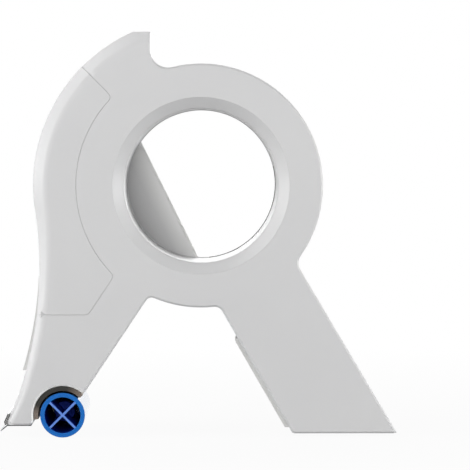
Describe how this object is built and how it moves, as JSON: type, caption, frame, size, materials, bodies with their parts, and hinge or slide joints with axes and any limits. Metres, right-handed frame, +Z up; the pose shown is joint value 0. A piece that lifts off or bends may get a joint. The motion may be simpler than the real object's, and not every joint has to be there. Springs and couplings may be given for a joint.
{
  "type": "masking tape dispenser",
  "caption": "Hand-held masking tape dispenser with a hollow roll hub, a slanted handle, a loading door, a tape roller and a serrated cutter.",
  "frame": {"origin": "on the axis of the roll hub, half way across the body's width", "axes": "+Y along the hub axis, from the near wall to the open side where the roll goes on; +X from the cutter towards the handle; +Z up"},
  "size_m": [0.1832, 0.0619, 0.1868],
  "materials": {
    "shell_plastic": "fine matt moulded grey",
    "blue_plastic": "smooth moulded blue",
    "dark_plastic": "matt moulded dark grey",
    "blade_steel": "rolled strip steel",
    "bright_steel": "bright turned steel",
    "strip_rubber": "light grey soft rubber"
  },
  "bodies": {
    "frame": {"near_shell": "shell_plastic", "roll_hub": "shell_plastic", "front_back_shell": "shell_plastic", "handle_back_shell": "shell_plastic", "door_hinge_pin": "bright_steel", "roller_axle": "bright_steel", "roller_fender": "dark_plastic", "cutter_blade": "blade_steel", "blade_keeper": "blade_steel", "front_strip": "strip_rubber", "handle_strip": "strip_rubber", "housing_screws": "bright_steel"},
    "door": {"loading_door": "shell_plastic"},
    "roller": {"tape_roller": "blue_plastic"},
    "cover": {"side_cover": "shell_plastic"}
  },
  "joints": [
    {"name": "door_swing", "type": "hinge", "parent": "frame", "child": "door", "pos_m": [-0.06575, 0.0311, 0], "axis": [0, 0, 1], "range_deg": [0, 110]},
    {"name": "roller_spin", "type": "hinge", "parent": "frame", "child": "roller", "pos_m": [-0.0639, 0, -0.1058], "axis": [0, 1, 0], "continuous": true},
    {"name": "cover_lift", "type": "slide", "parent": "frame", "child": "cover", "axis": [0, -1, 0], "range_m": [0, 0.02]}
  ]
}
